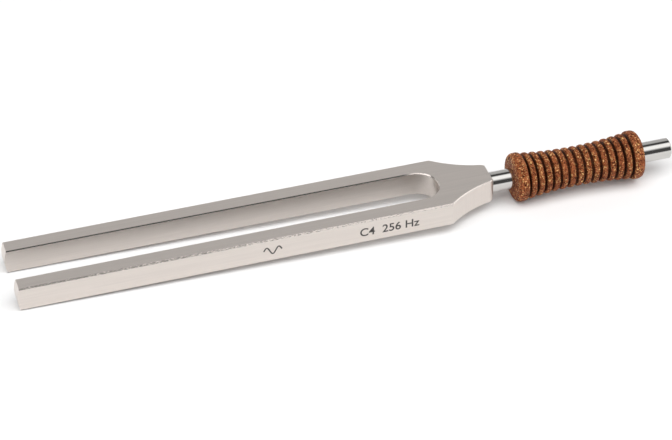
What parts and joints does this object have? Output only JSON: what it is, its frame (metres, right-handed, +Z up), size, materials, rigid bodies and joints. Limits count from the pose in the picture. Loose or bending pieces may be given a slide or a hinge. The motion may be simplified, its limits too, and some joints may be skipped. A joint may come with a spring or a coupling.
{
  "type": "tuning fork",
  "caption": "Long flat-bar tuning fork with a round-bottomed slot, waisted heel, polished stem and ridged hand grip.",
  "frame": {"origin": "centre of the flat foot of the stem", "axes": "+X along the stem's axis and out of its foot, so the tines point towards -X; +Y across the two tines; +Z up, square to the fork's flat faces"},
  "size_m": [0.2079, 0.0234, 0.0152],
  "materials": {
    "brushed_bar": "fine satin grain along the length",
    "polished_rod": "mirror polished",
    "stud_steel": "dark oiled screw steel",
    "cork_rubber": "moulded cork and rubber granules, matt, with paler flecks"
  },
  "bodies": {
    "root": {"fork_body": "brushed_bar", "stem_rod": "polished_rod", "joining_stud": "stud_steel", "grip": "cork_rubber"}
  },
  "joints": []
}
